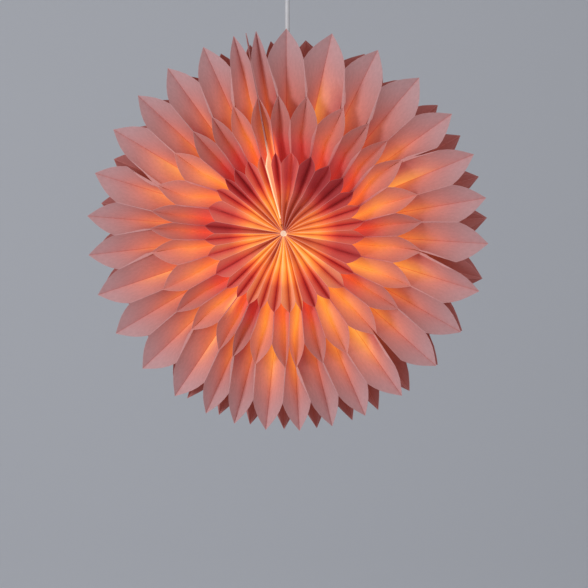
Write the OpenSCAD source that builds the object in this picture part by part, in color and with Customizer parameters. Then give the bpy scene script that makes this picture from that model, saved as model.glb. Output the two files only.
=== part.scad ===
// Paper snowflake star lantern: die-cut sheets glued in pairs round a hub, opened out like a
// fan and closed at a seam, hung over a small lampholder on a pendant cord.
// The origin is the middle of the ceiling plate's top face. The star faces -Y.

/* [Star outline] */
// Radius at the outer petal tips
outer_tip_r = 260; // [245:1:280]
// Radius of the notch between two outer petals
outer_notch_r = 220; // [205:1:230]
// Radius at the middle petal tips
mid_tip_r = 174; // [164:1:186]
// Radius of the notch between two middle petals
mid_notch_r = 141; // [132:1:152]
// Radius at the inner petal tips
inner_tip_r = 101; // [96:1:110]
// Radius of the notch between two inner petals
inner_notch_r = 86; // [78:1:92]
// Radius at the outer tips of the back half, on average
back_tip_r = 255; // [245:1:265]
// How far the ring of back tips is shifted towards one side
back_shift = 9; // [0:1:12]
// Direction of that shift in degrees, anticlockwise from the right
back_shift_angle = -50; // [-180:5:180]
// How far the cut dips between a front tip and the back tip behind it
tip_dip = 32; // [20:1:40]
// Share of a petal's edge that is curved and not straight
leaf_curve = 0.2; // [0:0.01:0.6]
// Distance from one glue line to the next, front to back
line_gap = 24; // [20:0.5:27]

/* [Paper] */
// Thickness of a paper sheet, measured round the star
sheet_t = 0.2; // [0.15:0.01:0.25]
// Thickness of the glue between two sheets
glue_t = 0.06; // [0.04:0.01:0.08]
// How far each petal stands open in degrees, clockwise from the one that the cord passes through
petal_open = [12, 14, 13.5, 14.5, 13, 13, 12.5, 13.5, 14, 11.5, 12.5, 13.5, 10.5, 9.5, 9.5, 10,
    8.5, 9, 11.5, 13, 12.5, 12, 11.5, 11, 14, 13, 11, 12, 11.5, 7, 5.5]; // [5.5:0.5:15] each
// How far each petal's later side leans in degrees in the back half, anticlockwise
back_lean = [0.5, -3.5, -5.5, -2, 0, 0, 0.5, -3.5, -5.5, -6, -4.5, -1.5, 1, 0, 0, 0, -1, -2.5,
    4.5, 6, 6, 3.5, 3.5, 1.5, 1.5, 5, 5, 5, 2, 0, -1]; // [-6:0.5:6] each

/* [Hub and lamp cavity] */
// Radius of the small hole that the sheets leave at the hub
hub_r = 4; // [3.8:0.1:6]
// Radius of the cavity round the lamp
cavity_r = 62; // [58:1:68]
// Half of the cavity's length, front to back
cavity_half = 64; // [60:1:68]
// Thickness of the binding thread
thread_d = 0.8; // [0.5:0.1:1.2]
// Thickness of the paper button over the hub
button_t = 1.2; // [0.8:0.1:2]
// Space between a piece that is seated and what carries it
seat_gap = 0.3; // [0.2:0.05:0.5]

/* [Seam] */
// Thickness of an end board
board_t = 0.4; // [0.3:0.05:0.5]
// Space between the two end boards, which the pads fill
seam_gap = 0.4; // [0.3:0.05:0.5]
// Hub radius of the two petals beside the seam
seam_hub_r = 12; // [12:0.5:16]
// Hub radius of the end boards
board_hub_r = 19; // [19:0.5:24]
// Diameter of a closing pad
pad_d = 14; // [8:1:18]
// Thickness of a closing pad
pad_t = 0.15; // [0.1:0.01:0.15]

/* [Cord] */
// Diameter of the cord
cord_d = 6; // [5:0.1:6.4]
// Space round the cord where it passes through a piece
cord_clearance = 0.1; // [0.05:0.05:0.3]
// Height of the strain relief over the lampholder
relief_h = 22; // [20:1:30]
// Diameter of the strain relief where it stands on the cap
relief_base_d = 9.4; // [8.8:0.1:9.8]
// Wall of the strain relief at its tip
relief_tip_wall = 0.5; // [0.4:0.05:0.6]
// Distance from the ceiling down to the star's centre
star_drop = 360; // [355:1:365]

/* [Lampholder] */
// Diameter of the lampholder's cap
cap_d = 32; // [30:0.5:36]
// Height of the cap
cap_h = 22; // [20:0.5:24]
// Wall of the cap and of the body
holder_wall = 1.8; // [1.4:0.1:2.2]
// Radius on the cap's shoulder
shoulder_r = 3; // [1:0.5:4]
// Diameter of the lampholder's body
body_d = 29; // [27:0.5:30]
// Height of the body below the cap
body_h = 29; // [27:0.5:31]
// Length of the body's collar that is screwed up into the cap
spigot_h = 8; // [6:0.5:10]
// Clearance between the lampholder's own pieces
holder_clearance = 0.15; // [0.1:0.05:0.25]
// Thickness of the contact carrier
carrier_h = 6; // [5:0.5:7]
// Diameter of the post under the carrier that holds the screw shell
post_d = 10; // [8:0.5:12]
// Height of that post
post_h = 1.4; // [1:0.1:2]
// Wall of the screw shell
shell_wall = 0.4; // [0.3:0.05:0.5]
// Length of the screw shell
shell_h = 18; // [16:0.5:19]
// Thickness of the centre contact
contact_t = 0.6; // [0.4:0.1:0.8]

/* [Bulb] */
// Diameter of the bulb's screw thread
base_d = 13.9; // [13.5:0.1:14.2]
// Space between the bulb's thread and the screw shell
thread_clearance = 0.35; // [0.25:0.05:0.5]
// Height of the insulator and contact on top of the screw base
tip_h = 3; // [2.5:0.1:3.5]
// Length of the screw base
base_h = 16; // [15:0.5:17]
// Height of the collar between screw base and globe
collar_h = 12.6; // [11:0.2:14]
// Diameter of the globe
globe_d = 45; // [40:1:46]
// Diameter of the ring on which the globe stands
globe_seat_d = 34; // [30:1:36]
// Wall of the globe and of the collar
bulb_wall = 1.2; // [1:0.1:1.6]

/* [Ceiling fitting] */
// Diameter of the ceiling plate
plate_d = 66; // [62:1:70]
// Thickness of the ceiling plate
plate_t = 2.5; // [2:0.1:3]
// Distance between the two screw holes
screw_spacing = 44; // [42:1:48]
// Diameter of the screw holes
screw_hole_d = 4.6; // [4:0.1:5.2]
// Diameter of the cord anchor under the plate
anchor_d = 20; // [18:0.5:22]
// Height of the cord anchor
anchor_h = 17; // [15:0.5:18]
// Depth of the cord's hole in the anchor
anchor_bore_h = 11.5; // [10:0.5:11.5]
// Diameter of the anchor's clamp screw
clamp_screw_d = 3; // [2.5:0.1:3.5]
// Length, width and height of the terminal block
terminal_size = [10, 16, 11];
// Distance from the anchor to the terminal block
terminal_gap = 3; // [2:0.5:4]
// Diameter of a terminal screw's head
terminal_screw_d = 3.4; // [3:0.1:4]
// Depth of the recess for a terminal screw
terminal_recess = 2; // [1:0.1:3]
// How far a terminal screw's head lies below the recess's edge
terminal_screw_sunk = 0.2; // [0:0.1:0.6]
// Diameter of the ceiling cup
cup_d = 82; // [80:1:90]
// Height of the ceiling cup
cup_h = 36; // [34:1:40]
// Wall of the ceiling cup
cup_wall = 2; // [1.5:0.1:2.5]
// Radius on the cup's lower edge
cup_round = 6; // [3:0.5:8]
// Space between the cup's rim and the ceiling
cup_ceiling_gap = 0.5; // [0.3:0.1:1]
// Diameter of the cord grip under the cup
grip_d = 13; // [12:0.5:15]
// Height of the cord grip
grip_h = 11; // [10:0.5:12]
// Diameter of the grip's screw
grip_screw_d = 3; // [2.5:0.1:3.5]
// How far the head of a clamp or grip screw stands out
screw_head_h = 1.5; // [1:0.1:2]

/* [Hidden] */
$fn = 72;

petals = len(petal_open);
function two_digits(n) = n < 10 ? str("0", n) : str(n);
function petal_name(k) = str("petal_", two_digits(k));

paper = [0.86, 0.55, 0.52];
card = [0.95, 0.88, 0.78];
white = [0.93, 0.93, 0.92];
brass = [0.80, 0.66, 0.36];
steel = [0.72, 0.73, 0.75];

// ---------- Where each petal stands ----------

function sum_to(list, n) = n == 0 ? 0 : list[n - 1] + sum_to(list, n - 1);
to_full_circle = 360 / sum_to(petal_open, petals);
function petal_width(k) = petal_open[k - 1] * to_full_circle;
cord_petal_angle = 90;
// The side of petal k that is further round clockwise
function petal_end_angle(k) =
    cord_petal_angle + petal_width(1) / 2 - to_full_circle * sum_to(petal_open, k);
function petal_angle(k) = petal_end_angle(k) + petal_width(k) / 2;
seam_after = petals - 1;
seam_angle = petal_end_angle(seam_after) + 360;

// ---------- The cut outline of a sheet, as radius over depth ----------

glue_lines = 8;
front_y = -line_gap * (glue_lines - 1) / 2;
tooth_steps = 3;
// A radial cut leans by this much, so that the sheet has no edge of zero length
cut_lean = 0.4;

function cavity_edge(y, hub) = abs(y) >= cavity_half ? hub
    : max(hub, cavity_r * pow(1 - pow(abs(y) / cavity_half, 4), 1 / 4));
// Share of the drop from tip to notch, from 0 at the tip to 1 at the notch
function leaf(share) = (1 - leaf_curve) * share + leaf_curve * pow(share, 3);
function leaf_edge(tip, notch, share) = tip - (tip - notch) * leaf(share);
function tooth(start, end, notch, tip) = [for (i = [0:tooth_steps])
    [start + (end - start) * i / tooth_steps, leaf_edge(tip, notch, 1 - i / tooth_steps)]];

function half_outline(tip) = concat(
    tooth(front_y, front_y + line_gap - cut_lean, inner_notch_r, inner_tip_r),
    tooth(front_y + line_gap, front_y + 2 * line_gap - cut_lean, mid_notch_r, mid_tip_r),
    tooth(front_y + 2 * line_gap, front_y + 3 * line_gap, outer_notch_r, tip));
function mirrored(half) = [for (i = [len(half) - 1:-1:0]) [-half[i][0], half[i][1]]];

// The outline of the sheets that meet at angle a, from the front edge to the back edge
function outline(a) =
    let (back_r = back_tip_r + back_shift * cos(a - back_shift_angle),
         dip_r = outer_tip_r - tip_dip)
    concat(half_outline(outer_tip_r),
        [[-line_gap / 4, leaf_edge(outer_tip_r, dip_r, 1 / 2)], [0, dip_r],
         [line_gap / 4, leaf_edge(back_r, dip_r, 1 / 2)]],
        mirrored(half_outline(back_r)));

// ---------- One paper sheet ----------

// A sheet swings between its petal's crease and its petal's side from one glue line to the next
function towards_side(y) = abs(((y - front_y) / line_gap) % 2 - 1);
function side_lean(k) = back_lean[(k + petals - 1) % petals];
// The lean at depth y, which starts behind the front half's last glue line
function lean(y, at_side, at_crease) =
    (y > -line_gap / 2 ? at_side * towards_side(y) : 0)
    + (y > line_gap / 2 ? at_crease * (1 - towards_side(y)) : 0);
function radial(a) = [cos(a), 0, sin(a)];
function around(a) = [-sin(a), 0, cos(a)];
sheet_offset = (sheet_t + glue_t) / 2;
board_offset = seam_gap / 2 + board_t + glue_t + sheet_t / 2;

function sheet_corner(y, r, a, shift) = r * radial(a) + [0, y, 0] + shift * around(a);

// side is 1 for the sheet further round anticlockwise and -1 for the other
module sheet(k, side, side_offset, hub) {
    middle = petal_angle(k);
    half = petal_width(k) / 2;
    at_side = side_lean(side == 1 ? k - 1 : k);
    at_crease = (side_lean(k - 1) + side_lean(k)) / 2;
    cut = outline(middle + side * half);
    points = [for (edge = cut)
        let (y = edge[0],
             s = towards_side(y),
             a = middle + side * half * s + lean(y, at_side, at_crease),
             shift = side * (sheet_offset * (1 - s) - side_offset * s),
             r_in = cavity_edge(y, hub))
        each [sheet_corner(y, r_in, a, shift - sheet_t / 2),
              sheet_corner(y, r_in, a, shift + sheet_t / 2),
              sheet_corner(y, edge[1], a, shift - sheet_t / 2),
              sheet_corner(y, edge[1], a, shift + sheet_t / 2)]];
    last = len(cut) - 1;
    strips = [for (i = [0:last - 1])
        let (a = 4 * i, b = 4 * (i + 1))
        each [[a + 1, b + 1, b + 3], [a + 1, b + 3, a + 3],
              [a, a + 2, b + 2], [a, b + 2, b],
              [a + 3, b + 3, b + 2], [a + 3, b + 2, a + 2],
              [b + 1, a + 1, a], [b + 1, a, b]]];
    z = 4 * last;
    ends = [[0, 1, 3], [0, 3, 2], [z, z + 2, z + 3], [z, z + 3, z + 1]];
    polyhedron(points, concat(strips, ends), convexity = 8);
}

// The cord runs up between the first petal's sheets, at the glue line behind its outer tip
module at_star() translate([0, -line_gap / 2, -star_drop]) children();

module petal(k) {
    beside_seam = k == seam_after || k == seam_after + 1;
    hub = beside_seam ? seam_hub_r : hub_r;
    color(paper) at_star() for (side = [-1, 1]) {
        at_seam = (k == seam_after && side == -1) || (k == seam_after + 1 && side == 1);
        sheet(k, side, at_seam ? board_offset : sheet_offset, hub);
    }
}

// ---------- End boards and closing pads at the seam ----------

board_steps = 12;
board_inner = [for (i = [board_steps:-1:-board_steps])
    let (y = -front_y * i / board_steps) [cavity_edge(y, board_hub_r), y]];
board_outline = concat([for (edge = outline(seam_angle)) [edge[1], edge[0]]], board_inner);
pad_spots = [[inner_tip_r + pad_d / 2 + 2, 0], [(mid_notch_r + outer_notch_r) / 2, 0],
    [outer_notch_r, 0]];

// Turns a shape drawn as radius and depth into the radial plane of the seam
module in_seam_plane() at_star() rotate([0, -seam_angle, 0]) children();

module end_board(side) color(card) in_seam_plane()
    translate([0, 0, side > 0 ? seam_gap / 2 : -seam_gap / 2 - board_t])
        linear_extrude(board_t) polygon(board_outline);

module closing_pads(side) color(white) in_seam_plane()
    for (spot = pad_spots)
        translate([spot[0], spot[1], side > 0 ? seam_gap / 2 - pad_t : -seam_gap / 2])
            cylinder(h = pad_t, d = pad_d);

// ---------- Hub ----------

ring_r = hub_r - seat_gap - thread_d / 2;
ring_depth = 6;

module binding(end) color(white) at_star()
    translate([0, end * (-front_y - ring_depth), 0]) rotate([90, 0, 0])
        rotate_extrude() translate([ring_r, 0]) circle(d = thread_d, $fn = 24);

module hub_button() color(card) at_star()
    translate([0, front_y + button_t, 0]) rotate([90, 0, 0])
        cylinder(h = button_t, r = hub_r - seat_gap);

// ---------- Lampholder, hung so that the star's inner edges rest on its cap ----------

cap_r = cap_d / 2;
shoulder_reach = cavity_edge(line_gap / 2, hub_r) - seat_gap - shoulder_r;
cap_top = -star_drop + shoulder_r + sqrt(pow(shoulder_reach, 2) - pow(cap_r - shoulder_r, 2));
cord_hole_r = cord_d / 2 + cord_clearance;
body_r = body_d / 2;
spigot_r = cap_r - holder_wall - holder_clearance;

module at_cap() translate([0, 0, cap_top]) children();

module holder_cap() color(white) at_cap() rotate_extrude() difference() {
    union() {
        translate([0, -cap_h]) square([cap_r, cap_h - shoulder_r]);
        translate([0, -shoulder_r]) square([cap_r - shoulder_r, shoulder_r]);
        translate([cap_r - shoulder_r, -shoulder_r]) intersection() {
            circle(shoulder_r);
            square(shoulder_r);
        }
    }
    translate([0, -cap_h - 1]) square([cap_r - holder_wall, cap_h + 1 - holder_wall]);
    translate([0, -holder_wall - 1]) square([cord_hole_r, holder_wall + 2]);
}

module holder_body() color(white) at_cap() translate([0, 0, -cap_h - body_h]) difference() {
    union() {
        cylinder(h = body_h - holder_clearance, r = body_r);
        cylinder(h = body_h + spigot_h, r = min(spigot_r, body_r));
    }
    translate([0, 0, -1]) cylinder(h = body_h + spigot_h + 2, r = body_r - holder_wall);
}

carrier_r = body_r - holder_wall - holder_clearance;
carrier_bottom = -cap_h - carrier_h;
shell_r = base_d / 2 + thread_clearance + shell_wall;

module contact_carrier() color(white) at_cap() {
    translate([0, 0, carrier_bottom]) cylinder(h = carrier_h, r = carrier_r);
    translate([0, 0, carrier_bottom - post_h]) cylinder(h = post_h, d = post_d);
}

module screw_shell() color(brass) at_cap() translate([0, 0, carrier_bottom - shell_h])
    difference() {
        cylinder(h = shell_h, r = shell_r);
        translate([0, 0, -1]) cylinder(h = shell_h + 2, r = shell_r - shell_wall);
    }

contact_bottom = carrier_bottom - post_h - contact_t;
module centre_contact() color(brass) at_cap()
    translate([0, 0, contact_bottom]) cylinder(h = contact_t, d = post_d / 2);

// ---------- Bulb ----------

tip_top = contact_bottom - seat_gap;
base_top = tip_top - tip_h;
collar_top = base_top - base_h;
globe_seat_r = globe_seat_d / 2;
globe_r = globe_d / 2;
globe_middle = collar_top - collar_h - sqrt(pow(globe_r, 2) - pow(globe_seat_r, 2));

module bulb_tip() color(brass) at_cap() translate([0, 0, base_top])
    cylinder(h = tip_h, r1 = base_d / 2 - 1, r2 = base_d / 5);

module bulb_screw_base() color(steel) at_cap() translate([0, 0, collar_top])
    cylinder(h = base_h, d = base_d);

module bulb_collar() color(white) at_cap() rotate_extrude() polygon([
    [0, collar_top], [base_d / 2 + 1, collar_top],
    [base_d / 2 + 3, collar_top - collar_h / 4],
    [globe_seat_r - 3, collar_top - collar_h * 2 / 3],
    [globe_seat_r, collar_top - collar_h],
    [globe_seat_r - bulb_wall, collar_top - collar_h],
    [globe_seat_r - bulb_wall - 3, collar_top - collar_h * 2 / 3],
    [0, collar_top - collar_h * 2 / 3]]);

led_board_t = 1.6;
module bulb_led_board() color(white) at_cap()
    translate([0, 0, collar_top - collar_h * 2 / 3 - led_board_t])
        cylinder(h = led_board_t, r = globe_seat_r - bulb_wall - 4);

module bulb_globe() color([1, 0.95, 0.85]) at_cap() translate([0, 0, globe_middle])
    rotate_extrude() difference() {
        circle(globe_r);
        circle(globe_r - bulb_wall);
        translate([-globe_d, -globe_d]) square([globe_d, 2 * globe_d]);
        translate([0, sqrt(pow(globe_r, 2) - pow(globe_seat_r, 2))]) square(globe_d);
    }

// ---------- Cord and its strain relief ----------

cord_sides = 10;
ring_spacing = 15;
// The cord hangs straight, from the cap up into the anchor
cord_route = [[0, 0, -304], [0, 0, -225], [0, 0, -150], [0, 0, -75], [0, 0, -9]];

function stretch_rings(a, b) =
    let (count = ceil(norm(b - a) / ring_spacing))
    [for (i = [0:count - 1]) a + (b - a) * i / count];
cord_rings = concat(
    [for (i = [0:len(cord_route) - 2]) each stretch_rings(cord_route[i], cord_route[i + 1])],
    [cord_route[len(cord_route) - 1]]);

module cord() {
    points = [for (middle = cord_rings, i = [0:cord_sides - 1])
        middle + cord_d / 2 * [cos(360 * i / cord_sides), sin(360 * i / cord_sides), 0]];
    last = len(cord_rings) - 1;
    walls = [for (j = [0:last - 1], i = [0:cord_sides - 1])
        let (n = (i + 1) % cord_sides, a = j * cord_sides, b = a + cord_sides)
        [a + i, b + i, b + n, a + n]];
    ends = [[for (i = [0:cord_sides - 1]) i],
            [for (i = [cord_sides - 1:-1:0]) last * cord_sides + i]];
    color(white) polyhedron(points, concat(walls, ends));
}

module strain_relief() color(white) at_cap() rotate_extrude() polygon([
    [cord_hole_r, 0], [relief_base_d / 2, 0], [relief_base_d / 2, relief_h / 6],
    [cord_hole_r + relief_tip_wall, relief_h], [cord_hole_r, relief_h]]);

// ---------- Ceiling fitting ----------

module ceiling_plate() color(steel) translate([0, 0, -plate_t]) difference() {
    cylinder(h = plate_t, d = plate_d);
    for (x = [-1, 1]) translate([x * screw_spacing / 2, 0, -1])
        cylinder(h = plate_t + 2, d = screw_hole_d);
}

anchor_bottom = -plate_t - anchor_h;
clamp_z = anchor_bottom + anchor_bore_h / 2;

// Lies along -Y through the wall of an anchor or a grip, up to the cord
module side_screw_space(d, reach) rotate([90, 0, 0]) cylinder(h = reach, d = d);

module cord_anchor() color(white) difference() {
    translate([0, 0, anchor_bottom]) cylinder(h = anchor_h, d = anchor_d);
    translate([0, 0, anchor_bottom - 1]) cylinder(h = anchor_bore_h + 1, r = cord_hole_r);
    translate([0, 0, clamp_z]) side_screw_space(clamp_screw_d, anchor_d);
}

module side_screw(d, wall_r) translate([0, -cord_hole_r, 0]) rotate([90, 0, 0])
    cylinder(h = wall_r - cord_hole_r + screw_head_h, d = d - 2 * holder_clearance);

module anchor_screw() color(steel) translate([0, 0, clamp_z]) side_screw(clamp_screw_d, anchor_d / 2);

terminal_x = -anchor_d / 2 - terminal_gap - terminal_size[0];
module terminal_block() color(white)
    translate([terminal_x, -terminal_size[1] / 2, -plate_t - terminal_size[2]]) difference() {
        cube(terminal_size);
        for (y = [1, 3]) translate([terminal_size[0] / 2, terminal_size[1] * y / 4, -1])
            cylinder(h = terminal_recess + 1, d = terminal_screw_d + 2 * holder_clearance);
    }

module terminal_screws() color(brass)
    for (y = [1, 3]) translate([terminal_x + terminal_size[0] / 2,
        terminal_size[1] * (y / 4 - 1 / 2), -plate_t - terminal_size[2] + terminal_screw_sunk])
        cylinder(h = terminal_recess - terminal_screw_sunk, d = terminal_screw_d);

cup_r = cup_d / 2;
cup_bottom = -cup_ceiling_gap - cup_h;

module ceiling_cup() color(white) translate([0, 0, cup_bottom]) rotate_extrude() difference() {
    union() {
        translate([0, cup_round]) square([cup_r, cup_h - cup_round]);
        square([cup_r - cup_round, cup_round]);
        translate([cup_r - cup_round, cup_round]) intersection() {
            circle(cup_round);
            translate([0, -cup_round]) square(cup_round);
        }
    }
    translate([0, cup_round]) square([cup_r - cup_wall, cup_h]);
    translate([0, cup_wall]) square([cup_r - cup_round, cup_round]);
    translate([cup_r - cup_round, cup_round]) intersection() {
        circle(cup_round - cup_wall);
        translate([0, -cup_round]) square(cup_round);
    }
    translate([0, -1]) square([cord_hole_r, cup_wall + 2]);
}

grip_z = cup_bottom - grip_h / 2;
module cup_grip() color(white) difference() {
    translate([0, 0, cup_bottom - grip_h]) cylinder(h = grip_h, d = grip_d);
    translate([0, 0, cup_bottom - grip_h - 1]) cylinder(h = grip_h + 2, r = cord_hole_r);
    translate([0, 0, grip_z]) side_screw_space(grip_screw_d, grip_d);
}

module grip_screw() color(steel) translate([0, 0, grip_z]) side_screw(grip_screw_d, grip_d / 2);

// ---------- The whole lantern ----------

for (k = [1:petals]) petal(k);
end_board(1);  // end_board_left
end_board(-1);  // end_board_right
closing_pads(1);  // closing_pads_left
closing_pads(-1);  // closing_pads_right
binding(-1);  // front_binding
binding(1);  // back_binding
hub_button();
cord();
strain_relief();
holder_cap();
holder_body();
contact_carrier();
screw_shell();
centre_contact();
bulb_tip();
bulb_screw_base();
bulb_collar();
bulb_led_board();
bulb_globe();
ceiling_plate();
cord_anchor();
anchor_screw();
terminal_block();
terminal_screws();
ceiling_cup();
cup_grip();
grip_screw();
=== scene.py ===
import math

import bpy
import numpy as np
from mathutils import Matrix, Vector


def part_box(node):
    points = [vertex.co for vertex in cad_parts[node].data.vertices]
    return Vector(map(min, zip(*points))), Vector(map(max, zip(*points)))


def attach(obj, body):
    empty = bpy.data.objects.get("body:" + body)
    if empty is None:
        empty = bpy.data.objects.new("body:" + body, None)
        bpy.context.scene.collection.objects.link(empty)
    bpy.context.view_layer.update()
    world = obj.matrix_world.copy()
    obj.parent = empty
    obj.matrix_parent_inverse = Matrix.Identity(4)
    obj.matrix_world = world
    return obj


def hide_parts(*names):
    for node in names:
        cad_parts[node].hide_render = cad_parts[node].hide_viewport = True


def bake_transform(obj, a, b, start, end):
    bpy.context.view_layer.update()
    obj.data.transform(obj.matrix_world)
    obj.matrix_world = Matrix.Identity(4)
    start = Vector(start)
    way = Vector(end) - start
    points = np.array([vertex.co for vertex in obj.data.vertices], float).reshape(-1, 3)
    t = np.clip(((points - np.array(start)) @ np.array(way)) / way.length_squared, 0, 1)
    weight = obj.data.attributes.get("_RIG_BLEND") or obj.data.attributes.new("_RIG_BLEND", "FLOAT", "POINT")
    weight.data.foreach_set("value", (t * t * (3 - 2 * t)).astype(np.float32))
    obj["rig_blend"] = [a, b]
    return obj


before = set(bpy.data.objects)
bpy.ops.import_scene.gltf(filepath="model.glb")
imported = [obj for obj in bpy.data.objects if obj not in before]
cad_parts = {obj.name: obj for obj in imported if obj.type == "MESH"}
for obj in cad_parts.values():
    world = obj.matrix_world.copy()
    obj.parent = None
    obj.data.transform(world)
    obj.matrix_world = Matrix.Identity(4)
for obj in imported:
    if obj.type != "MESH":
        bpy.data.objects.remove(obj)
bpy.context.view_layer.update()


# ---- Camera ----
# It stands level with the star and a little to its right, far enough away that the near
# petals are hardly larger than the far ones. The cord leaves through the top of its view.
star_low, star_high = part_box("front_binding")
back_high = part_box("back_binding")[1]
STAR_X = (star_low.x + star_high.x) / 2
STAR_Z = (star_low.z + star_high.z) / 2
STAR_Y = (star_low.y + back_high.y) / 2
star_middle = Vector((STAR_X, STAR_Y, STAR_Z))

camera_turn, camera_rise = math.radians(3), math.radians(1.6)
camera_distance = 1.8
view_width = 0.766
sensor_width = 36
aim = star_middle + Vector((0.0092, 0, -0.0813))
camera_data = bpy.data.cameras.new("camera")
camera_data.sensor_width = sensor_width
camera_data.lens = sensor_width * camera_distance / view_width
camera = bpy.data.objects.new("camera", camera_data)
bpy.context.scene.collection.objects.link(camera)
camera.location = star_middle + camera_distance * Vector((
    math.sin(camera_turn) * math.cos(camera_rise),
    -math.cos(camera_turn) * math.cos(camera_rise),
    math.sin(camera_rise)))
camera.rotation_mode = "QUATERNION"
camera.rotation_quaternion = (aim - camera.location).to_track_quat("-Z", "Y")
bpy.context.scene.camera = camera


# ---- Pendant cord ----
# A round two-core flex in a smooth white sheath. It is clamped in the anchor on the ceiling
# plate and hangs straight down into the lampholder's cap.
def shader_of(material):
    return material.node_tree.nodes["Principled BSDF"]


def new_material(name, colour, roughness):
    material = bpy.data.materials.new(name)
    material.use_nodes = True
    shader_of(material).inputs["Base Color"].default_value = (*colour, 1)
    shader_of(material).inputs["Roughness"].default_value = roughness
    return material


def mottle(material, colour, darker, scale, bump, stretch=(1, 1, 1)):
    """A slow change of colour over the surface, with a fine grain in its height."""
    grain_height = 0.0005
    nodes, links = material.node_tree.nodes, material.node_tree.links
    place = nodes.new("ShaderNodeTexCoord")
    mapping = nodes.new("ShaderNodeMapping")
    mapping.inputs["Scale"].default_value = stretch
    links.new(place.outputs["Object"], mapping.inputs["Vector"])
    noise = nodes.new("ShaderNodeTexNoise")
    noise.inputs["Scale"].default_value = scale
    noise.inputs["Detail"].default_value = 4
    links.new(mapping.outputs["Vector"], noise.inputs["Vector"])
    ramp = nodes.new("ShaderNodeValToRGB")
    ramp.color_ramp.elements[0].position = 0.3
    ramp.color_ramp.elements[0].color = (*darker, 1)
    ramp.color_ramp.elements[1].position = 0.7
    ramp.color_ramp.elements[1].color = (*colour, 1)
    links.new(noise.outputs["Fac"], ramp.inputs["Fac"])
    links.new(ramp.outputs["Color"], shader_of(material).inputs["Base Color"])
    height = nodes.new("ShaderNodeBump")
    height.inputs["Strength"].default_value = bump
    height.inputs["Distance"].default_value = grain_height
    links.new(noise.outputs["Fac"], height.inputs["Height"])
    links.new(height.outputs["Normal"], shader_of(material).inputs["Normal"])


CORD_WIDTH = 0.006
cord_route = [(0, 0, -0.304), (0, 0, -0.225), (0, 0, -0.150), (0, 0, -0.075), (0, 0, -0.009)]
cord_length = cord_route[-1][2] - cord_route[0][2]
cord_points = 24
cord_line = bpy.data.curves.new("cord_curve", "CURVE")
cord_line.dimensions = "3D"
cord_line.bevel_depth = CORD_WIDTH / 2
cord_line.bevel_resolution = 4
cord_line.use_fill_caps = True
spline = cord_line.splines.new("POLY")
spline.points.add(cord_points - 1)
for i, point in enumerate(spline.points):
    point.co = (0, 0, cord_route[0][2] + cord_length * i / (cord_points - 1), 1)
cord = bpy.data.objects.new("pendant_cord", cord_line)
bpy.context.scene.collection.objects.link(cord)
sheath = new_material("white_flex", (0.62, 0.63, 0.65), 0.45)
mottle(sheath, (0.64, 0.65, 0.67), (0.58, 0.59, 0.61), 60, 0.05)
cord_line.materials.append(sheath)
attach(cord, "pendant")
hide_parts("cord")


# ---- Ceiling fitting ----
# A white moulded cup hides a zinc-plated plate, which is screwed to the ceiling and carries
# the cord anchor and the terminal block. A grip with its own screw holds the cup on the cord.
def finish_nodes(material, *names):
    for name in names:
        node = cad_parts[name]
        node.data.materials.clear()
        node.data.materials.append(material)


moulded = new_material("white_moulding", (0.72, 0.72, 0.70), 0.35)
mottle(moulded, (0.74, 0.74, 0.72), (0.70, 0.70, 0.68), 90, 0.06)
shader_of(moulded).inputs["Coat Weight"].default_value = 0.2
finish_nodes(moulded, "ceiling_cup", "cup_grip", "cord_anchor", "terminal_block")

zinc = new_material("zinc_plate", (0.55, 0.56, 0.58), 0.42)
mottle(zinc, (0.60, 0.61, 0.63), (0.48, 0.49, 0.51), 120, 0.1, (1, 6, 1))
shader_of(zinc).inputs["Metallic"].default_value = 1
finish_nodes(zinc, "ceiling_plate", "anchor_screw", "grip_screw")

plain_brass = new_material("plain_brass", (0.72, 0.52, 0.24), 0.35)
mottle(plain_brass, (0.76, 0.56, 0.27), (0.60, 0.42, 0.18), 150, 0.08)
shader_of(plain_brass).inputs["Metallic"].default_value = 1
finish_nodes(plain_brass, "terminal_screws")


# ---- Lampholder ----
# The same white moulding for its cap, its body and the tapered strain relief round the cord.
# Inside, a porcelain carrier holds the brass screw shell and the centre contact.
porcelain = new_material("porcelain", (0.80, 0.78, 0.72), 0.5)
mottle(porcelain, (0.82, 0.80, 0.75), (0.74, 0.71, 0.65), 80, 0.12)
finish_nodes(moulded, "holder_cap", "holder_body", "strain_relief")
finish_nodes(plain_brass, "screw_shell", "centre_contact")
finish_nodes(porcelain, "contact_carrier")


# ---- Bulb ----
# A small golf-ball LED bulb with an opal globe on a plastic collar and a plated screw base.
# It is the only lamp in the star, and it burns warm white.
def shine(material, colour, strength):
    shader_of(material).inputs["Emission Color"].default_value = (*colour, 1)
    shader_of(material).inputs["Emission Strength"].default_value = strength


opal = new_material("opal_glass", (1.0, 0.9, 0.75), 0.3)
mottle(opal, (1.0, 0.92, 0.78), (0.96, 0.86, 0.70), 20, 0.02)
shine(opal, (1.0, 0.62, 0.28), 2.5)
finish_nodes(opal, "bulb_globe")
collar = new_material("bulb_collar_plastic", (0.80, 0.79, 0.76), 0.4)
mottle(collar, (0.82, 0.81, 0.78), (0.76, 0.75, 0.72), 70, 0.05)
finish_nodes(collar, "bulb_collar", "bulb_led_board")
finish_nodes(zinc, "bulb_screw_base")
finish_nodes(plain_brass, "bulb_tip")


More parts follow.
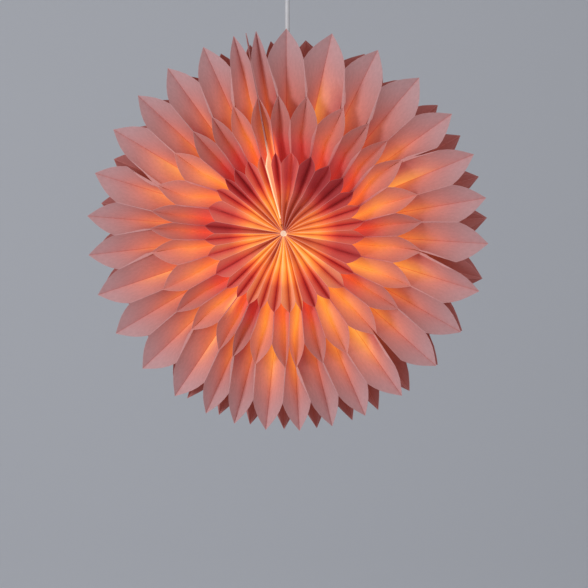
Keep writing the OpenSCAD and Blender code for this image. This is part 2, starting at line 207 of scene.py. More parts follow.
# ---- Paper petals ----
# Sixty-two die-cut sheets of thin dusty pink paper. Each is glued to its neighbours along
# eight lines from front to back, by turns at its petal's crease and at its petal's side, so
# that the star opens like a honeycomb. Its petal tips are cut as three steps of leaf points.
# How wide each petal opens, in degrees, clockwise from the top
OPEN_ANGLES = [12, 14, 13.5, 14.5, 13, 13, 12.5, 13.5, 14, 11.5, 12.5, 13.5, 10.5, 9.5, 9.5, 10,
               8.5, 9, 11.5, 13, 12.5, 12, 11.5, 11, 14, 13, 11, 12, 11.5, 7, 5.5]
PETALS = len(OPEN_ANGLES)
FIRST_PETAL_ANGLE = 90
# How far apart the eight glue lines lie, and the depth of the first
LINE_GAP = 0.024
FRONT = -3.5 * LINE_GAP
# How far from the hub's axis the three steps' leaf points and the notches between them lie
OUTER, OUTER_NOTCH = 0.260, 0.220
MIDDLE, MIDDLE_NOTCH = 0.174, 0.141
INNER, INNER_NOTCH = 0.101, 0.086
# The ring of back leaves is a little smaller, and lies a little towards one side
BACK_OUTER, BACK_SHIFT, BACK_SHIFT_ANGLE = 0.255, 0.009, -50
# How deep the dip between the front and back outer leaves is, and how round a leaf's edge is
TIP_DIP = 0.032
LEAF_CURVE = 0.2
# Where the sheets begin at the hub, and the hollow in the star's middle that the lamp hangs in
HUB, SEAM_HUB = 0.004, 0.012
CAVITY, CAVITY_HALF = 0.062, 0.0595
# The thickness of a sheet and of an end board, and the gap between the two boards. Each
# glued sheet sinks GLUE_BITE past the middle of the joint.
SHEET = 0.0002
SEAM_GAP, BOARD = 0.0004, 0.0004
GLUE_BITE = 0.00001
sheet_offset = SHEET / 2 - GLUE_BITE
board_offset = SEAM_GAP / 2 + BOARD + SHEET / 2
# The creases beside the end boards lie a little further in, so they stay behind the boards
# when the star is folded
CREASE_SHIFT = {PETALS - 1: 0.0005, PETALS: -0.0006}
# The cut from the tip of one step out to the next step leans back by this much
CUT_LEAN = 0.0004
# The mesh: steps along a leaf's edge and outwards, and the narrow band along a cut edge
STEPS = 5
COLUMNS = 18
EDGE_BAND = 0.0009
SHARP_TURN = math.radians(25)
UV_SIZE, UV_FRONT = 0.3, -0.1
# Depths closer together than this count as the same
SAME = 1e-6

# How each petal's later side leans, in degrees anticlockwise, petal by petal clockwise from
# the top: in the back half, at the middle leaf that stands on it, and at the inner leaves
BACK_LEAN = [0.5, -3.5, -5.5, -2, 0, 0, 0.5, -3.5, -5.5, -6, -4.5, -1.5, 1, 0, 0, 0, -1, -2.5,
             4.5, 6, 6, 3.5, 3.5, 1.5, 1.5, 5, 5, 5, 2, 0, -1]
MIDDLE_LEAN = [-3, -5, -4, 0, 3, 0, 1, 2.5, 1, 1.5, 0, -1.5, -2, -4, 1, -2, -3.5, -1, -4, -1,
               0.5, -4, -2.5, 1, 4, 1.5, 0.5, 2.5, 4, 3, -3]
INNER_LEAN = [-7, -7, -8, -6.5, -5, -3, -0.5, 1, -1.5, 0.5, -2, 0.5, -2, 1.5, -1, -2.5, -2.5,
              -3.5, -1, 2, -1.5, -2.5, -1, 0, -4, -1.5, 1.5, 3, 3, 1, -4]
# Sides where the glue has let go at the outer leaves, by the petal before: how far the next
# petal's sheet and this one's have sprung apart, in degrees, and the radius where the lamp's
# light is painted on the faces in the gap, or 0 where it isn't
UNGLUED = {5: (-0.8, 0.2, 0), 8: (-2.6, 0.2, 0.184), 11: (-2.6, 0.2, 0.184),
           25: (-1, 1.6, 0.163)}
# How far along the gap that painted light still shows to each side of that radius
GAP_GLOW = 0.016
# Halves of outer leaves that lie in the dark behind the middle leaf, as petal and sheet
DARK_HALVES = [(2, -1), (6, 1), (9, 1), (12, 1), (14, -1), (17, -1), (28, 1), (31, -1)]
# Petals whose inner leaf has a painted second, narrow fold in its valley: painted light along
# the valley's middle and painted shade to each side of it, on a sheet with one valley
PAINTED_FOLD_PETALS = [1, 3]
# Petals whose valley gets painted light of the lamp just behind the inner leaf
BRIGHT_VALLEYS = [19, 31]
# How far the end boards curl over at the front, in degrees, and the depth behind which they
# are flat. The last petal's first sheet has come away from them there and leans the other way
# by a share of the curl, so their cream face shows.
SEAM_CURL = 3.2
CURL_END = -0.052
SHEET_RECOIL = 0.3

# How brightly the lamp shines through each petal, out of ten, clockwise from the top: the
# earlier and later half of its outer leaf, the middle leaf at its later side, its inner leaf,
# and its pleat beside the hub
OUTER_EARLIER = [1, 2, 3, 1, 5, 9, 5, 5, 8, 4, 6, 10, 6, 3, 7, 9, 4, 5, 10, 6, 4, 8, 6, 5, 6, 8,
                 4, 3, 4, 4, 2]
OUTER_LATER = [1, 7, 3, 2, 5, 4, 5, 5, 8, 4, 5, 10, 6, 3, 7, 8, 4, 5, 4, 5, 4, 3, 4, 4, 6, 4, 3,
               4, 3, 6, 2]
MIDDLE_LIGHT = [2, 4, 2, 4, 6, 8, 4, 7, 9, 5, 8, 9, 4, 9, 6, 8, 2, 5, 7, 4, 7, 7, 4, 4, 7, 8, 2,
                2, 6, 5, 1]
INNER_LIGHT = [2, 0, 0, 0, 1, 3, 3, 3, 2, 3, 5, 3, 3, 5, 6, 4, 4, 5, 3, 3, 3, 4, 3, 1, 3, 3, 1,
               1, 3, 4, 2]
HUB_LIGHT = [3, 2, 2, 4, 6, 6, 7, 9, 4, 5, 10, 8, 5, 7, 10, 10, 7, 3, 6, 9, 3, 8, 8, 3, 8, 8, 4, 5,
             8, 9, 4]


def end_angle(k):
    return FIRST_PETAL_ANGLE + OPEN_ANGLES[0] / 2 - sum(OPEN_ANGLES[:k])


def later_side(table, k):
    return table[(k - 1) % PETALS]


seam_angle = end_angle(PETALS - 1)


def leaf_edge(tip, notch, share):
    return tip - (tip - notch) * ((1 - LEAF_CURVE) * share + LEAF_CURVE * share ** 3)


def tooth(start, end, notch, tip):
    """Stations along one leaf point, as depth and radius."""
    band = EDGE_BAND / (end - start)
    shares = [0, band] + [i / STEPS for i in range(1, STEPS)] + [1 - band, 1]
    return [(start + (end - start) * q, leaf_edge(tip, notch, 1 - q)) for q in shares]


def half_outline(tip):
    return (tooth(FRONT, FRONT + LINE_GAP - CUT_LEAN, INNER_NOTCH, INNER)
            + tooth(FRONT + LINE_GAP, FRONT + 2 * LINE_GAP - CUT_LEAN, MIDDLE_NOTCH, MIDDLE)
            + tooth(FRONT + 2 * LINE_GAP, FRONT + 3 * LINE_GAP, OUTER_NOTCH, tip))


def outline(degrees):
    """The cut edge of the sheets that meet at an angle, from front to back."""
    back = BACK_OUTER + BACK_SHIFT * math.cos(math.radians(degrees - BACK_SHIFT_ANGLE))
    dip = OUTER - TIP_DIP
    shares = [EDGE_BAND / (LINE_GAP / 2), 0.3, 0.65]
    front_side = [(-LINE_GAP / 2 * (1 - q), leaf_edge(OUTER, dip, q)) for q in shares]
    back_side = [(LINE_GAP / 2 * (1 - q), leaf_edge(back, dip, q)) for q in reversed(shares)]
    return (half_outline(OUTER) + front_side + [(0, dip)] + back_side
            + [(-y, r) for y, r in reversed(half_outline(back))])


def cavity_edge(y, hub):
    if abs(y) >= CAVITY_HALF:
        return hub
    return max(hub, CAVITY * (1 - (abs(y) / CAVITY_HALF) ** 4) ** 0.25)


def towards_side(y):
    """0 where the sheet lies at its petal's crease and 1 where it lies at the petal's side."""
    u = abs(((y - FRONT) / LINE_GAP) % 2 - 1)
    bend = 0.15
    return (1 - bend) * u + bend * (0.5 - 0.5 * math.cos(math.pi * u))


def along(stops, place):
    """The value at a place on a line of stops, each a place and its value."""
    places, values = zip(*stops)
    return float(np.interp(place, places, values))


def seam_curl(y, r):
    out = along([(0.020, 0.1), (0.050, 0.8), (0.085, 1), (0.120, 0)], r)
    return SEAM_CURL * (along([(FRONT, 1), (CURL_END, 0)], y) * out)


def side_lean(k, y, r):
    """How far the later side of petal k leans at depth y and radius r, in degrees."""
    if k == PETALS - 1 and y < -LINE_GAP:
        return seam_curl(y, r)
    if y > -LINE_GAP / 2:
        return later_side(BACK_LEAN, k)
    in_front = along([(-1.5 * LINE_GAP, 1), (-0.5 * LINE_GAP, 0)], y)
    inner = along([(0.020, 0.2), (0.050, 1), (0.095, 1), (0.125, 0)], r)
    middle = along([(0.095, 0), (0.135, 1), (0.180, 1), (0.215, 0)], r)
    return in_front * (inner * later_side(INNER_LEAN, k) + middle * later_side(MIDDLE_LEAN, k))


def sheet_angle(k, side, y, r):
    """The angle round the star of a sheet of petal k; side is 1 for its earlier sheet."""
    half = OPEN_ANGLES[k - 1] / 2
    s = towards_side(y)
    earlier, later = side_lean(k - 1, y, r), side_lean(k, y, r)
    if k == PETALS and y < -LINE_GAP:
        earlier = -SHEET_RECOIL * earlier
    at_side = earlier if side > 0 else later
    at_crease = 0 if abs(y) <= LINE_GAP / 2 + SAME else (earlier + later) / 2
    opened = UNGLUED.get(k if side < 0 else k - 1)
    if opened and y < 0:
        share = along([(0.165, 0), (0.180, 0.4), (0.197, 1), (0.240, 0.9)], r)
        at_side += (opened[0] if side > 0 else opened[1]) * share
    return end_angle(k) + half + side * half * s + s * at_side + (1 - s) * at_crease


# The lamp's light by radius on the three steps of the star: beside the hub, and on its leaves
hub_light = [(0.004, 0.80), (0.012, 0.85), (0.022, 1.0), (0.042, 0.88), (0.055, 0.40),
             (0.068, 0)]
inner_light = [(0.030, 0), (0.055, 0.80), (0.080, 0.75), (0.101, 0.70)]
middle_light = [(0.086, 1.0), (0.118, 0.95), (0.134, 0.76), (0.150, 0.52), (0.164, 0.36),
                (0.176, 0.28)]
outer_light = [(0.140, 1.0), (0.165, 0.98), (0.184, 0.80), (0.204, 0.46), (0.222, 0.27),
               (0.242, 0.16), (0.262, 0.09)]

# The same light deep in the pockets between the outer leaves, where the bulb is nearly in sight
pocket_light = [(0.062, 0.85), (0.100, 0.45), (0.150, 0.15), (0.200, 0.04)]

# The painted second fold starts this far from the hub
PAINTED_FOLD_START = 0.04


# Each of these gives the painted light through the paper and how deep red the paper looks,
# which is a painted shade: deeper towards the hub, in the valleys and where the light is weaker.
# centre is 1 at the middle of the leaf and 0 at its sides.
def inner_leaf_light(k, centre, r):
    """On the front pleats, from the hub out to the tip. The open side of a pleat is bright."""
    hub_level, level = HUB_LIGHT[k - 1], INNER_LIGHT[k - 1]
    open_pleat = (1 - centre) ** 0.38
    near_hub = hub_level / 10 * along(hub_light, r) * (0.20 + 0.80 * open_pleat)
    further = (0.11 + 0.11 * level) * along(inner_light, r) * (0.12 + 0.88 * open_pleat)
    red_at_tip = 1.2 - 0.12 * level + 0.3 * centre ** 3
    red_by_hub = 0.75 - 0.06 * hub_level
    return near_hub + further, along([(0.025, red_by_hub), (0.050, 0.78), (0.070, red_at_tip)], r)


def middle_leaf_light(k, side, centre, r):
    """Brightest at the leaf's middle and near the inner leaves. Even at level 0 it glows."""
    level = later_side(MIDDLE_LIGHT, k if side < 0 else k - 1) / 10
    light = (0.11 + 0.87 * level) * along(middle_light, r) * (0.45 + 0.55 * centre)
    if k in BRIGHT_VALLEYS:
        light += along([(0.2, 0.9), (0.5, 0)], centre) * along([(0.105, 1), (0.130, 0)], r)
    return light, along([(0.105, 1.2 - 0.55 * level), (0.140, 0.62), (0.175, 0.3)], r)


def outer_leaf_light(k, side, centre, r):
    """Its sides are dimmer than its middle, most of all where the middle leaf covers it."""
    level = (OUTER_EARLIER if side > 0 else OUTER_LATER)[k - 1] / 10
    at_side = along([(0.180, 0.25), (0.200, 0.4)], r)
    across = at_side + (1 - at_side) * centre ** 1.2
    light = (0.20 + 0.74 * level) * along(outer_light, r) * across
    red = along([(0.15, 0.85 - 0.4 * level), (0.19, 0.42), (0.24, 0.05)], r)
    if (k, side) in DARK_HALVES:
        behind_middle = along([(0.180, 1), (0.200, 0)], r)
        dark = 0.6 * (behind_middle * along([(0.25, 1), (0.6, 0)], centre))
        light, red = light * (1 - dark), red + (1 - red) * dark
    return light, red


def lamp_light(k, side, y, r):
    """The light and red of petal k at depth y and radius r, on the step that y belongs to."""
    s = towards_side(y)
    centre = 1 - s if y < 0 else s
    depth = abs(y) - SAME
    if depth > 2.5 * LINE_GAP:
        # A painted second fold: light and shade mirrored about the valley's middle, with no fold in the
        # sheet
        if k in PAINTED_FOLD_PETALS and r > PAINTED_FOLD_START:
            centre = 1 - abs(1 - 2 * centre)
        return inner_leaf_light(k, centre, r)
    if depth > 1.5 * LINE_GAP:
        return middle_leaf_light(k, side, 1 - centre, r)
    return outer_leaf_light(k, side, centre, r)


def in_shade(y, faces_side):
    """1 on the faces inside the pockets behind the outer leaves, which little light reaches."""
    line = y / LINE_GAP
    if abs(line) < 0.5 - SAME:
        return 1.0
    inside = (-1.5 < line < 0) if faces_side else (0 < line < 1.5)
    return 1.0 if inside else 0.0


# A glued line passes half the light and looks redder, which also paints the crease's shade
# there, and a shaded face gets little light
GLUED_LIGHT, GLUED_RED = 0.5, 0.3
SHADE_LEAST, SHADE_SHARE = 0.04, 0.1
RED_SCALE = 0.8


def paper_light(k, side, y, r, doubled_with_crease_shade, shaded):
    """The paint for lamp_light, with painted shade where it is glued double at a crease or faces a pocket.
    """
    light, red = lamp_light(k, side, y, r)
    if doubled_with_crease_shade:
        light, red = GLUED_LIGHT * light, red + GLUED_RED
    if shaded:
        light = max(SHADE_LEAST + SHADE_SHARE * light, along(pocket_light, r))
        # Painted light of the lamp on the faces in an unglued gap
        opened = UNGLUED.get(k if side < 0 else k - 1)
        if opened and y < -LINE_GAP / 2:
            light = max(light, 1 - abs(r - opened[2]) / GAP_GLOW)
    return min(light, 1), min(RED_SCALE * red, 1)


GLUE_LINES = 8
glue_lines = [FRONT + i * LINE_GAP for i in range(GLUE_LINES)]
# The three steps' front edges, each a depth and the radius beyond which it is a cut edge
front_edges = [(FRONT, 0), (FRONT + LINE_GAP, INNER), (FRONT + 2 * LINE_GAP, MIDDLE)]


def grid_faces(rows, columns):
    """Faces of a thin closed strip: its two sides and the rims round them."""
    other = rows * columns
    faces = []
    for i in range(rows - 1):
        for j in range(columns - 1):
            a = i * columns + j
            b = a + columns
            faces.append((a, b, b + 1, a + 1))
            faces.append((other + a, other + a + 1, other + b + 1, other + b))
        a, b = i * columns, (i + 1) * columns
        faces.append((a, other + a, other + b, b))
        a, b = a + columns - 1, b + columns - 1
        faces.append((a, b, other + b, other + a))
    for j in range(columns - 1):
        faces.append((j, j + 1, other + j + 1, other + j))
        a = (rows - 1) * columns + j
        faces.append((a, other + a, other + a + 1, a + 1))
    return faces


def column_radii(r_in, r_out):
    return [r_in + (r_out - EDGE_BAND - r_in) * j / (COLUMNS - 1) for j in range(COLUMNS)] + [r_out]


def star_point(degrees, r, y, shift):
    a = math.radians(degrees)
    return (STAR_X + r * math.cos(a) - shift * math.sin(a), STAR_Y + y,
            STAR_Z + r * math.sin(a) + shift * math.cos(a))


def sheet_mesh(k, side):
    """One sheet as lists: corners, faces, angles, paint and UV. The paint of a corner is its
    light, its depth of red, and 1 or 0 for a cut edge and for shade."""
    hub = SEAM_HUB if k in (PETALS - 1, PETALS) else HUB
    at_seam = (k == PETALS - 1 and side < 0) or (k == PETALS and side > 0)
    side_offset = board_offset if at_seam else sheet_offset
    stations = outline(end_angle(k) + (OPEN_ANGLES[k - 1] if side > 0 else 0))
    corners, angles, paint, uv = [], [], [], []
    for layer in (-0.5, 0.5):
        for y, r_out in stations:
            s = towards_side(y)
            shift = side * (sheet_offset * (1 - s) - side_offset * s) + layer * SHEET
            shift += CREASE_SHIFT.get(k, 0) * (1 - s)
            glued = any(abs(y - line) < SAME for line in glue_lines)
            shade = in_shade(y, layer * side > 0)
            for j, r in enumerate(column_radii(cavity_edge(y, hub), r_out)):
                degrees = sheet_angle(k, side, y, r)
                corners.append(star_point(degrees, r, y, shift))
                angles.append(degrees)
                edge = j == COLUMNS or any(abs(abs(y) + front) < SAME and r > start
                                           for front, start in front_edges)
                light, red = paper_light(k, side, y, r, glued and not edge, shade)
                paint.append((light, red, edge, shade))
                uv.append((r / UV_SIZE, (y - UV_FRONT) / UV_SIZE))
    return corners, grid_faces(len(stations), COLUMNS + 1), angles, paint, uv


def set_ramp(ramp, stops):
    """Gives a colour ramp its stops, each a position and a colour."""
    ramp.color_ramp.elements.remove(ramp.color_ramp.elements[1])
    for i, (position, colour) in enumerate(stops):
        stop = ramp.color_ramp.elements[0] if i == 0 else ramp.color_ramp.elements.new(position)
        stop.position = position
        stop.color = (*colour, 1)


def mix_colour(material, factor, first, second, blend_type="MIX"):
    """A colour mix node. factor, first and second are sockets or plain values."""
    factor_input, first_input, second_input = 0, 6, 7
    mix = material.node_tree.nodes.new("ShaderNodeMix")
    mix.data_type = "RGBA"
    mix.blend_type = blend_type
    for place, value in ((factor_input, factor), (first_input, first), (second_input, second)):
        if isinstance(value, bpy.types.NodeSocket):
            material.node_tree.links.new(value, mix.inputs[place])
        elif place == factor_input:
            mix.inputs[place].default_value = value
        else:
            mix.inputs[place].default_value = (*value, 1)
    return mix.outputs[2]


# Dusty pink paper. The paint on its corners gives the lamp's light through it, painted as a
# glow (red), how deep a red it looks, a painted shade (green), its cut edges, which get a
# painted highlight (blue), and its shaded faces (alpha).
paper = bpy.data.materials.new("dusty_pink_paper")
paper.use_nodes = True
nodes, links = paper.node_tree.nodes, paper.node_tree.links
shader = shader_of(paper)
shader.inputs["Roughness"].default_value = 0.85
shader.inputs["Specular IOR Level"].default_value = 0.25
painted = nodes.new("ShaderNodeAttribute")
painted.attribute_name = "paint"
parts = nodes.new("ShaderNodeSeparateColor")
links.new(painted.outputs["Color"], parts.inputs["Color"])
uv_map = nodes.new("ShaderNodeUVMap")
uv_map.uv_map = "sheet"
fibre_place = nodes.new("ShaderNodeMapping")
fibre_place.inputs["Scale"].default_value = (1, 2.5, 1)
links.new(uv_map.outputs["UV"], fibre_place.inputs["Vector"])
fibre = nodes.new("ShaderNodeTexNoise")
fibre.inputs["Scale"].default_value = 55
fibre.inputs["Detail"].default_value = 6
fibre.inputs["Roughness"].default_value = 0.65
links.new(fibre_place.outputs["Vector"], fibre.inputs["Vector"])
cloudy = nodes.new("ShaderNodeMapRange")
cloudy.inputs["From Min"].default_value = 0.3
cloudy.inputs["From Max"].default_value = 0.7
cloudy.inputs["To Min"].default_value = 0.9
cloudy.inputs["To Max"].default_value = 1.06
links.new(fibre.outputs["Fac"], cloudy.inputs["Value"])

# The paper's colour by the painted shade in green: pink, turning deep crimson where less light reaches
paper_colour = nodes.new("ShaderNodeValToRGB")
links.new(parts.outputs["Green"], paper_colour.inputs["Fac"])
set_ramp(paper_colour, [(0.0, (0.48, 0.35, 0.37)), (0.4, (0.49, 0.21, 0.195)),
                        (0.8, (0.53, 0.12, 0.105)), (1.0, (0.38, 0.05, 0.055))])
shaded = mix_colour(paper, painted.outputs["Alpha"], paper_colour.outputs["Color"],
                    (0.38, 0.17, 0.17))
# A painted highlight along the cut edges, where the paper's edge catches the light: they are mixed towards a
# paler pink
edge_highlight = nodes.new("ShaderNodeMath")
edge_highlight.operation = "MULTIPLY"
edge_highlight.inputs[1].default_value = 0.2
links.new(parts.outputs["Blue"], edge_highlight.inputs[0])
edged = mix_colour(paper, edge_highlight.outputs["Value"], shaded, (0.68, 0.46, 0.47))
fibrous = mix_colour(paper, 1.0, edged, cloudy.outputs["Result"], "MULTIPLY")
links.new(fibrous, shader.inputs["Base Color"])
lamp_colour = nodes.new("ShaderNodeValToRGB")
links.new(parts.outputs["Red"], lamp_colour.inputs["Fac"])
set_ramp(lamp_colour, [(0.0, (0.05, 0.008, 0.005)), (0.15, (0.15, 0.023, 0.010)),
                       (0.3, (0.29, 0.057, 0.017)), (0.5, (0.46, 0.125, 0.019)),
                       (0.7, (0.60, 0.22, 0.025)), (0.85, (0.70, 0.30, 0.04)),
                       (1.0, (0.78, 0.39, 0.09))])
redder = nodes.new("ShaderNodeMapRange")
redder.inputs["From Min"].default_value = 0.56
redder.inputs["From Max"].default_value = 0.8
links.new(parts.outputs["Green"], redder.inputs["Value"])
through_red = mix_colour(paper, redder.outputs["Result"], (1, 1, 1), (1.1, 0.45, 1.0))
glow = mix_colour(paper, 1.0, lamp_colour.outputs["Color"], through_red, "MULTIPLY")
glowing = mix_colour(paper, 1.0, glow, cloudy.outputs["Result"], "MULTIPLY")
links.new(glowing, shader.inputs["Emission Color"])
shader.inputs["Emission Strength"].default_value = 1.0
grain = nodes.new("ShaderNodeBump")
grain.inputs["Strength"].default_value = 0.25
grain.inputs["Distance"].default_value = 0.0003
links.new(fibre.outputs["Fac"], grain.inputs["Height"])
links.new(grain.outputs["Normal"], shader.inputs["Normal"])


def thin_piece(name, corners, faces, material):
    """A smooth piece of paper or card, with sharp lines where it is creased or cut."""
    mesh = bpy.data.meshes.new(name)
    mesh.from_pydata(corners, [], faces)
    mesh.polygons.foreach_set("use_smooth", np.ones(len(mesh.polygons), bool))
    mesh.set_sharp_from_angle(angle=SHARP_TURN)
    mesh.materials.append(material)
    piece = bpy.data.objects.new(name, mesh)
    bpy.context.scene.collection.objects.link(piece)
    return piece


def bend_by_share(piece, share):
    """Lets each corner go its own share of the way from the piece's first body to its second."""
    weights = piece.data.attributes["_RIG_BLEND"]
    weights.data.foreach_set("value", share.astype(np.float32))


def paper_piece(name, sheets, body_a, body_b, start, full, replaced):
    """The sheets beside one fold. They bend from body_a at start to body_b at start + full."""
    corners, faces, angles, paint, uv = [], [], [], [], []
    for k, side in sheets:
        more_corners, more_faces, more_angles, more_paint, more_uv = sheet_mesh(k, side)
        faces += [tuple(v + len(corners) for v in face) for face in more_faces]
        corners += more_corners
        angles += more_angles
        paint += more_paint
        uv += more_uv
    piece = thin_piece(name, corners, faces, paper)
    mesh = piece.data
    paint_layer = mesh.attributes.new("paint", "FLOAT_COLOR", "POINT")
    paint_layer.data.foreach_set("color", np.array(paint, np.float32).ravel())
    loops = np.zeros(len(mesh.loops), np.int32)
    mesh.loops.foreach_get("vertex_index", loops)
    uv_layer = mesh.uv_layers.new(name="sheet")
    uv_layer.data.foreach_set("uv", np.array(uv, np.float32)[loops].ravel())
    first, final = mesh.vertices[0].co, mesh.vertices[-1].co
    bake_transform(piece, body_a, body_b, start=tuple(first), end=tuple(final))
    turned = (np.array(angles) - start) / full
    bend_by_share(piece, np.maximum(turned, 0) if body_a == "star" else turned)
    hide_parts(*replaced)


def petal(k):
    return f"petal_{k:02d}"


def body(k):
    return "star" if k == 1 else petal(k)


for k in range(1, PETALS - 1):
    side_angle = end_angle(k)
    near = side_angle if k == 1 else side_angle + OPEN_ANGLES[k - 1] / 2
    far = side_angle - OPEN_ANGLES[k] / 2
    paper_piece(f"paper_{k:02d}_{k + 1:02d}", [(k, -1), (k + 1, 1)], body(k), body(k + 1),
                near, far - near, [petal(k), petal(k + 1)])
last = PETALS - 1
half_last, half_31 = OPEN_ANGLES[last - 1] / 2, OPEN_ANGLES[-1] / 2
paper_piece("paper_seam_left", [(last, -1)], petal(last), "seam_left",
            seam_angle + half_last, -half_last, [petal(last)])
# Petal 31 lies a whole turn on, just past the first petal's earlier side
paper_piece("paper_31_01", [(PETALS, -1)], "star", petal(PETALS),
            end_angle(PETALS), half_31, [petal(PETALS)])
paper_piece("paper_01_31", [(1, 1)], "star", petal(PETALS),
            FIRST_PETAL_ANGLE + OPEN_ANGLES[0] / 2, half_31, [petal(1)])
paper_piece("paper_seam_right", [(PETALS, 1)], petal(PETALS), "seam_right",
            end_angle(PETALS) + half_31, half_31, [petal(PETALS)])


# ---- End boards ----
# Two boards of thin card, glued to the star's first and last sheets, which close it where
# they meet. The card is cream by the hub, with a painted glow of the lamp's light there, and
# dyed like the paper further out.
BOARD_HUB = 0.019
# The card is cream with its painted glow out to the first radius, and dyed and dim beyond the second
CREAM_AND_GLOW_END, DYED_AND_DIM_FROM = 0.095, 0.120
card = new_material("end_board_card", (0.80, 0.66, 0.50), 0.8)
nodes, links, shader = card.node_tree.nodes, card.node_tree.links, shader_of(card)
card_place = nodes.new("ShaderNodeTexCoord")
from_hub = nodes.new("ShaderNodeVectorMath")
from_hub.operation = "SUBTRACT"
from_hub.inputs[1].default_value = (STAR_X, 0, STAR_Z)
links.new(card_place.outputs["Object"], from_hub.inputs[0])
flat = nodes.new("ShaderNodeVectorMath")
flat.operation = "MULTIPLY"
flat.inputs[1].default_value = (1, 0, 1)
links.new(from_hub.outputs["Vector"], flat.inputs[0])
reach = nodes.new("ShaderNodeVectorMath")
reach.operation = "LENGTH"
links.new(flat.outputs["Vector"], reach.inputs[0])
dye_and_glow = nodes.new("ShaderNodeMapRange")
dye_and_glow.inputs["From Min"].default_value = CREAM_AND_GLOW_END
dye_and_glow.inputs["From Max"].default_value = DYED_AND_DIM_FROM
links.new(reach.outputs["Value"], dye_and_glow.inputs["Value"])
card_grain = nodes.new("ShaderNodeTexNoise")
card_grain.inputs["Scale"].default_value = 400
links.new(card_place.outputs["Object"], card_grain.inputs["Vector"])
card_height = nodes.new("ShaderNodeBump")
card_height.inputs["Strength"].default_value = 0.2
card_height.inputs["Distance"].default_value = 0.0002
links.new(card_grain.outputs["Fac"], card_height.inputs["Height"])
links.new(card_height.outputs["Normal"], shader.inputs["Normal"])
card_colour = mix_colour(card, dye_and_glow.outputs["Result"], (0.82, 0.68, 0.52), (0.48, 0.22, 0.21))
links.new(card_colour, shader.inputs["Base Color"])
# Painted glow of the lamp's light on the card, strong by the hub and faint where it is dyed
card_glow = mix_colour(card, dye_and_glow.outputs["Result"], (0.40, 0.26, 0.13), (0.05, 0.01, 0.008))
links.new(card_glow, shader.inputs["Emission Color"])
shader.inputs["Emission Strength"].default_value = 1.0


def end_board(name, k, seam_body, seam, turn_side):
    """One board, a closed plate that follows the sheets' outline and curls over at its front.
    It is pressed flat with petal k, whose sheet is glued to it, as the star folds."""
    stations = outline(seam_angle)
    corners, angles = [], []
    for layer in (0, 1):
        for y, r_out in stations:
            shift = turn_side * (SEAM_GAP / 2 + layer * BOARD)
            for r in column_radii(cavity_edge(y, BOARD_HUB), r_out):
                angles.append(seam + seam_curl(y, r))
                corners.append(star_point(angles[-1], r, y, shift))
    board = thin_piece(name, corners, grid_faces(len(stations), COLUMNS + 1), card)
    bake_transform(board, petal(k), seam_body, start=corners[0], end=corners[-1])
    half = OPEN_ANGLES[k - 1] / 2
    bend_by_share(board, 1 + turn_side * (seam - np.array(angles)) / half)
    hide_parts(name.replace("card_", "end_"))


end_board("card_board_left", last, "seam_left", seam_angle, 1)
end_board("card_board_right", PETALS, "seam_right", seam_angle - 360, -1)


# ---- Closing pads ----
# Three round pads of pale felt are glued to each end board, in a row out from the hub. Those
# of one board grip those of the other, which holds the star open.
felt = new_material("closing_pad", (0.80, 0.78, 0.74), 0.95)
mottle(felt, (0.84, 0.82, 0.78), (0.70, 0.68, 0.64), 900, 0.6)
finish_nodes(felt, "closing_pads_left", "closing_pads_right")


# ---- Hub ----
# A ring of linen thread binds the sheets at the hub, in front and behind. A small button of
# pale paper is glued over the front one, with a painted glow of the lamp's light in it.
thread = new_material("linen_thread", (0.78, 0.66, 0.52), 0.8)
mottle(thread, (0.82, 0.70, 0.56), (0.60, 0.46, 0.34), 700, 0.8, (1, 6, 1))
finish_nodes(thread, "front_binding", "back_binding")
button_paper = new_material("button_paper", (0.84, 0.64, 0.50), 0.8)
mottle(button_paper, (0.86, 0.66, 0.52), (0.76, 0.54, 0.40), 300, 0.2)
# A painted glow: the lamp's light through the button
shine(button_paper, (1.0, 0.5, 0.28), 0.28)
finish_nodes(button_paper, "hub_button")


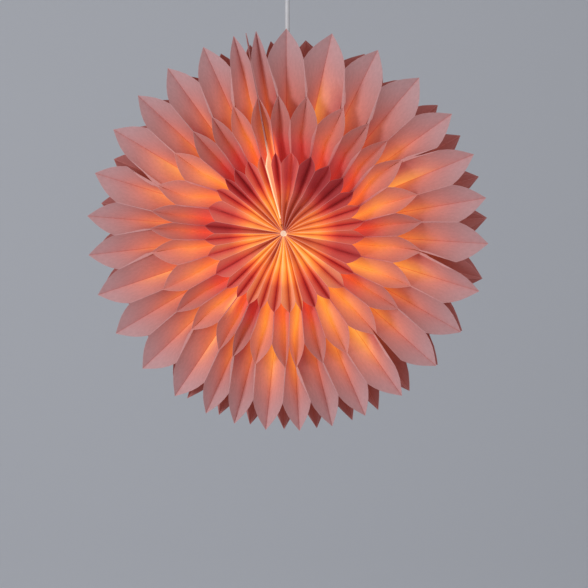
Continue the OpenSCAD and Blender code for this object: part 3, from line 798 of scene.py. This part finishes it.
# ---- Floor, backdrop and studio light ----
# A pale floor that turns up into a pale wall behind the star, a large soft lamp on the left
# and a weaker one on the right.
FLOOR_Z, ROOM_TOP = -2.4, 4.0
ROOM_FRONT, WALL_Y = -4.0, 2.7
ROOM_HALF_WIDTH = 7
SWEEP, SWEEP_STEPS = 0.9, 16
room_points = [(ROOM_FRONT, FLOOR_Z), (WALL_Y - SWEEP, FLOOR_Z)]
room_points += [(WALL_Y - SWEEP + SWEEP * math.sin(q), FLOOR_Z + SWEEP - SWEEP * math.cos(q))
                for q in np.linspace(0, math.pi / 2, SWEEP_STEPS + 1)[1:]]
room_points += [(WALL_Y, ROOM_TOP)]
room_mesh = bpy.data.meshes.new("room")
room_corners = [(x, y, z) for y, z in room_points for x in (-ROOM_HALF_WIDTH, ROOM_HALF_WIDTH)]
room_mesh.from_pydata(room_corners, [], [(2 * i, 2 * i + 1, 2 * i + 3, 2 * i + 2)
                                         for i in range(len(room_points) - 1)])
room_mesh.polygons.foreach_set("use_smooth", np.ones(len(room_mesh.polygons), bool))
room = bpy.data.objects.new("room", room_mesh)
bpy.context.scene.collection.objects.link(room)
room_mesh.materials.append(new_material("room_paint", (0.58, 0.60, 0.64), 0.9))


def soft_lamp(name, place, size, power):
    data = bpy.data.lights.new(name, "AREA")
    data.shape = "SQUARE"
    data.size = size
    data.energy = power
    data.color = (1.0, 0.98, 0.98)
    lamp = bpy.data.objects.new(name, data)
    bpy.context.scene.collection.objects.link(lamp)
    lamp.location = place
    lamp.visible_camera = False
    lamp.rotation_mode = "QUATERNION"
    lamp.rotation_quaternion = (star_middle - lamp.location).to_track_quat("-Z", "Y")


soft_lamp("left_lamp", Vector((-3.9, -4.6, 0.1)), 1.8, 172)
soft_lamp("right_lamp", Vector((1.3, -1.5, 0.2)), 1.0, 7)
world = bpy.data.worlds.new("studio")
world.use_nodes = True
world.node_tree.nodes["Background"].inputs["Color"].default_value = (0.92, 0.95, 1.0, 1)
world.node_tree.nodes["Background"].inputs["Strength"].default_value = 0.35
bpy.context.scene.world = world
bpy.context.scene.view_settings.view_transform = "Standard"
